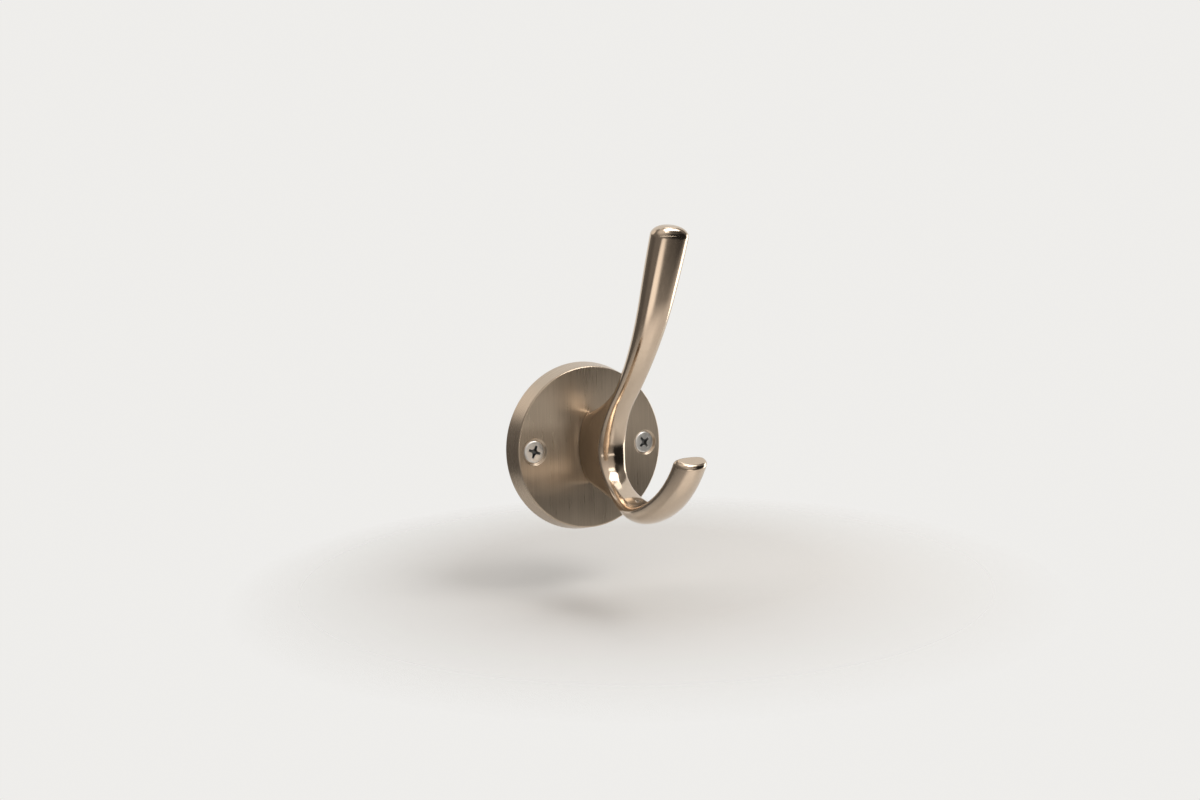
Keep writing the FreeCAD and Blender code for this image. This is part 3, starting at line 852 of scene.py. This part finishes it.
arm.data.materials.append(polished)
for material in (brushed, turned, cast):
    rosette.data.materials.append(material)
for face in rosette.data.polygons:
    y = face.center.y / MM
    from_axis = math.hypot(face.center.x, face.center.z) / MM
    if abs(face.normal.y) > 0.9999 and y < FOOT_Y + 0.01:
        face.material_index = 0
    elif from_axis > PLATE_RADIUS - 0.7 and y < -0.3 or y < FACE_BACK - 0.3:
        face.material_index = 1
    else:
        face.material_index = 2
# Faces deep in each cross recess get the dark zinc, which is painted shade.
for screw in screws:
    screw.data.materials.append(zinc)
    screw.data.materials.append(recess_painted_shade)
    for face in screw.data.polygons:
        depth = face.center.y / MM - HEAD_Y
        off = math.hypot(abs(face.center.x / MM) - SCREW_X, face.center.z / MM)
        in_painted_shade = 0.1 < depth < RECESS_DEPTH + 0.1 and off < 2.2 and off < HEAD_RADIUS - depth - 0.5
        face.material_index = 1 if in_painted_shade else 0

dressed = [(arm, "hook_arm", "polished_nickel"), (rosette, "base_plate", "brushed_nickel")]
dressed += [(screw, "wall_screws", "zinc_steel") for screw in screws]
for piece, node, slot in dressed:
    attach(piece, "root")
    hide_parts(node)
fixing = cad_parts["fixing_screw"]
fixing.data.materials.clear()
fixing.data.materials.append(zinc)

# Camera, at the place and angle that the photograph was taken from.
LENS, SENSOR = 28.5, 36.0
CAMERA_PLACE = (-141.78, -260.29, 35.96)
YAW, PITCH, ROLL = 0.518093, -0.0735777, -0.0216657


def make_camera():
    data = bpy.data.cameras.new("camera")
    data.lens = LENS
    data.sensor_width = SENSOR
    data.sensor_fit = "HORIZONTAL"
    data.clip_start = 0.01
    camera = add_object("camera", data)
    forward = Vector((math.sin(YAW) * math.cos(PITCH), math.cos(YAW) * math.cos(PITCH),
                      math.sin(PITCH)))
    level = Vector((math.cos(YAW), -math.sin(YAW), 0))
    upright = level.cross(forward)
    right = math.cos(ROLL) * level + math.sin(ROLL) * upright
    up = math.cos(ROLL) * upright - math.sin(ROLL) * level
    turn = Matrix((right, up, -forward)).transposed()
    camera.matrix_world = Matrix.Translation(Vector(CAMERA_PLACE) * MM) @ turn.to_4x4()
    bpy.context.scene.camera = camera


make_camera()

# Studio in metres: a pale floor that fades into a pale surround, with a screen and lamps about
# the middle of the hook.
MIDDLE = Vector((0, -0.02, 0.01))
FLOOR_PLACE = (0.03, 0.015, -0.045)
FLOOR_RINGS = [0.0, 0.1, 0.2, 0.4, 0.8, 1.2, 1.7, 2.2]
FLOOR_SEGMENTS = 96
FLOOR_FADE = (0.06, 0.135)


def make_floor():
    work = bmesh.new()
    turns = [2 * math.pi * k / FLOOR_SEGMENTS for k in range(FLOOR_SEGMENTS)]
    last = None
    for radius in FLOOR_RINGS:
        if radius == 0:
            last = [work.verts.new((0, 0, 0))] * FLOOR_SEGMENTS
            continue
        ring = [work.verts.new((radius * math.cos(t), radius * math.sin(t), 0)) for t in turns]
        for k in range(FLOOR_SEGMENTS):
            n = (k + 1) % FLOOR_SEGMENTS
            work.faces.new(list(dict.fromkeys([last[k], ring[k], ring[n], last[n]])))
        last = ring
    mesh = bpy.data.meshes.new("floor")
    work.to_mesh(mesh)
    work.free()
    floor = add_object("floor", mesh)
    floor.location = FLOOR_PLACE
    paint = Paint("floor_pale")
    colour = paint.colours(paint.noise((9, 9, 9)), (0.80, 0.795, 0.785), (0.83, 0.825, 0.815))
    paint.link(colour, paint.shader.inputs["Base Color"])
    paint.shader.inputs["Roughness"].default_value = 0.85
    paint.shader.inputs["Specular IOR Level"].default_value = 0.2
    reach = paint.node("ShaderNodeVectorMath", operation="LENGTH")
    paint.link(paint.place, reach.inputs[0])
    fade = paint.spread(reach.outputs["Value"], 1.0, 0.0, *FLOOR_FADE)
    paint.link(fade, paint.shader.inputs["Alpha"])
    floor.data.materials.append(paint.material)


make_floor()

world = bpy.data.worlds.new("studio")
bpy.context.scene.world = world
world.use_nodes = True
world.node_tree.nodes["Background"].inputs["Color"].default_value = (0.86, 0.85, 0.83, 1)
world.node_tree.nodes["Background"].inputs["Strength"].default_value = 1.0


def heading(azimuth, elevation):
    """Unit vector; azimuth 0 is into the wall (+Y), 90 to the right (+X), 180 out to the room."""
    a, e = math.radians(azimuth), math.radians(elevation)
    return (math.cos(e) * math.sin(a), math.cos(e) * math.cos(a), math.sin(e))


# Glowing screen round the front and left of the studio, outside the picture; it is no lamp, and its
# light is painted into its emission.
# Its soft fields of painted light and dark give the metal its bands. Each field is (azimuth,
# elevation, outer half angle, inner half angle, level); the world behind it stays pale.
SCREEN_LEVEL = 0.20
FIELDS = [
    (-60, -35, 60, 25, 0.12),
    (104, -66, 38, 20, 1.35),
    (-172, 4, 42, 14, 0.36),
    (-176, 48, 56, 16, 0.80),
    (-38, 42, 30, 12, 1.02),
    (103, -34, 24, 10, 0.74),
    (131, -6, 33, 17, 0.010),
    (139, 27, 15, 8, 0.03),
    (168, -42, 17, 7, 1.45),
]
SCREEN_TINT = (1.0, 0.93, 0.86)
SCREEN_TURNS = (94, 334, 97)
SCREEN_HEIGHTS = (-80, 84, 67)
SCREEN_RADIUS = 3.0


def screen_level(way):
    """Level of light of the screen in a direction, each field fading into those before it."""
    level = SCREEN_LEVEL
    for azimuth, elevation, outer, inner, field in FIELDS:
        cosine = sum(p * q for p, q in zip(way, heading(azimuth, elevation)))
        away = math.degrees(math.acos(max(-1.0, min(1.0, cosine))))
        share = max(0.0, min(1.0, (outer - away) / (outer - inner)))
        level += (field - level) * share * share * (3 - 2 * share)
    return level


def make_screen():
    turns = np.linspace(*SCREEN_TURNS)
    heights = np.linspace(*SCREEN_HEIGHTS)
    points, faces, tones = [], [], []
    for turn in turns:
        for height in heights:
            way = heading(turn, height)
            points.append([SCREEN_RADIUS * part for part in way])
            level = screen_level(way)
            tones += [level * tint for tint in SCREEN_TINT] + [1.0]
    rows = len(heights)
    for k in range(len(turns) - 1):
        for step in range(rows - 1):
            corner = k * rows + step
            faces.append((corner, corner + 1, corner + rows + 1, corner + rows))
    mesh = bpy.data.meshes.new("screen")
    mesh.from_pydata(points, [], faces)
    tone = mesh.color_attributes.new("tone", "FLOAT_COLOR", "POINT")
    tone.data.foreach_set("color", tones)
    screen = add_object("screen", mesh)
    screen.location = MIDDLE
    screen.visible_camera = False
    # Its glow is painted light: emission at the painted level of each vertex, not cloth lit by
    # lamps.
    paint = Paint("glowing_screen")
    read = paint.node("ShaderNodeVertexColor", layer_name="tone")
    paint.link(read.outputs["Color"], paint.shader.inputs["Emission Color"])
    paint.shader.inputs["Emission Strength"].default_value = 1.0
    paint.shader.inputs["Base Color"].default_value = (0.01, 0.01, 0.01, 1)
    paint.shader.inputs["Roughness"].default_value = 1.0
    paint.shader.inputs["Specular IOR Level"].default_value = 0.0
    screen.data.materials.append(paint.material)


make_screen()


def softbox(name, azimuth, elevation, distance, size, level, colour):
    """Rectangular lamp that faces the hook, whose face has this level of light."""
    data = bpy.data.lights.new(name, "AREA")
    data.shape = "RECTANGLE"
    data.size, data.size_y = size
    data.energy = level * math.pi * size[0] * size[1]
    data.color = colour
    lamp = add_object(name, data)
    lamp.location = MIDDLE + distance * Vector(heading(azimuth, elevation))
    lamp.rotation_euler = (MIDDLE - lamp.location).to_track_quat("-Z", "Y").to_euler()
    lamp.visible_camera = False


softbox("right", 98, -2, 0.42, (0.15, 0.30), 2.6, (1.0, 0.98, 0.95))
softbox("top", 149, 50, 0.50, (0.26, 0.22), 4.0, (1.0, 0.98, 0.95))
softbox("over", 112, 66, 0.50, (0.15, 0.15), 1.5, (1.0, 0.98, 0.95))
softbox("line", 172, -5.5, 0.60, (0.55, 0.026), 2.0, (1.0, 0.96, 0.90))
softbox("brow", 163, 29, 0.50, (0.12, 0.07), 1.9, (1.0, 0.98, 0.95))

bpy.context.scene.view_settings.view_transform = "Standard"
